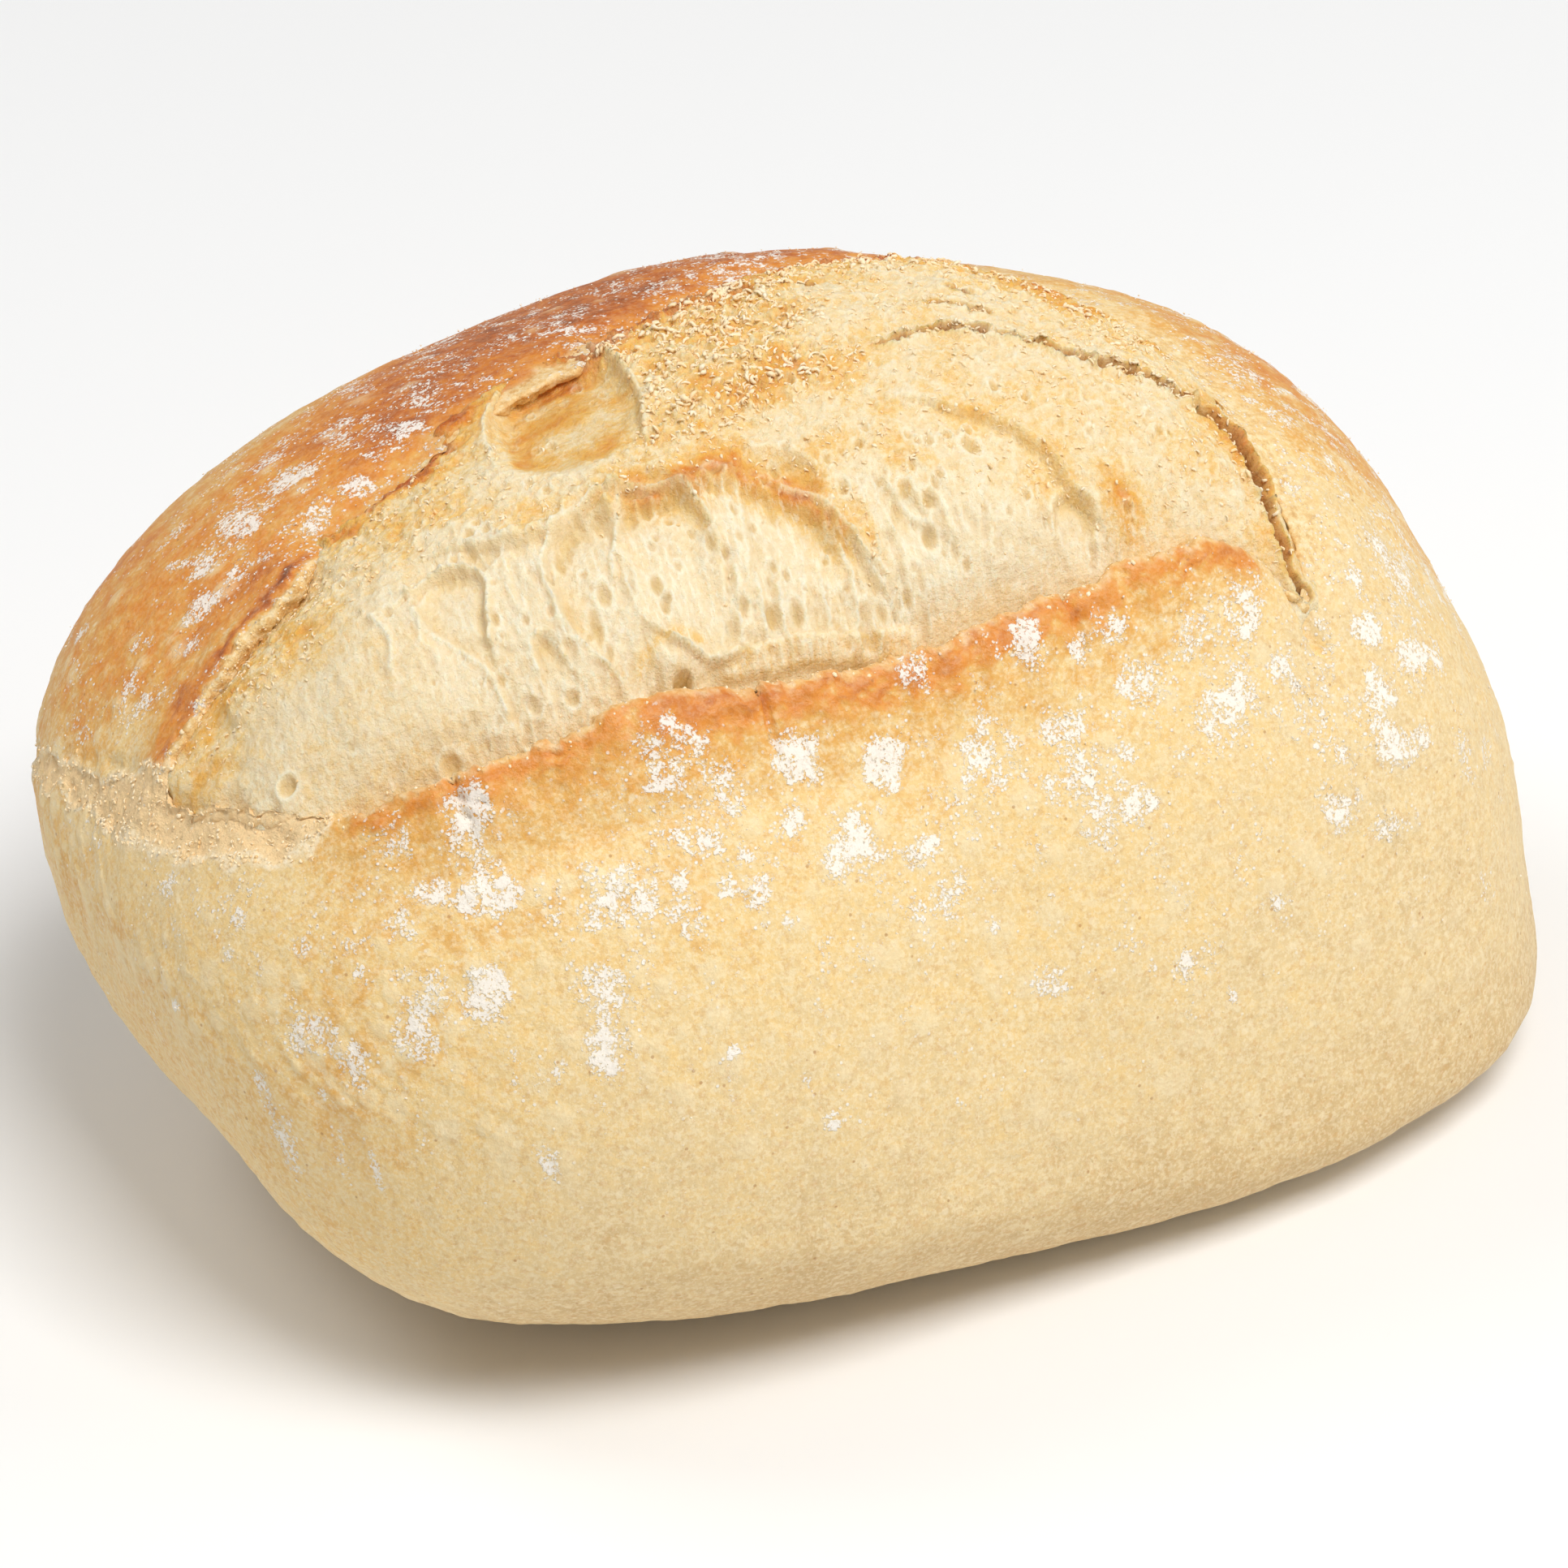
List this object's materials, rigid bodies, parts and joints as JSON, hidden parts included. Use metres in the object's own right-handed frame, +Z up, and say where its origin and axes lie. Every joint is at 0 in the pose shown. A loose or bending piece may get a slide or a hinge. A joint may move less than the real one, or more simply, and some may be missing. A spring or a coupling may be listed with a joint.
{
  "type": "bread roll",
  "caption": "Oblong crusty wheat roll with a flat base, scored along its top and burst open to show rough crumb between two raised lips of crust.",
  "frame": {"origin": "middle of the box around the roll, on the surface it rests on", "axes": "+X along the roll, +Y across it away from the front lip, +Z up"},
  "size_m": [0.105, 0.0792, 0.0584],
  "materials": {
    "crust": "baked wheat crust, golden near the lips and pale tan low down, dusted with white flour",
    "crumb": "torn open bread crumb, cream, matte, with burst bubbles and pores"
  },
  "bodies": {
    "root": {"bread_roll": "crust"}
  },
  "joints": []
}
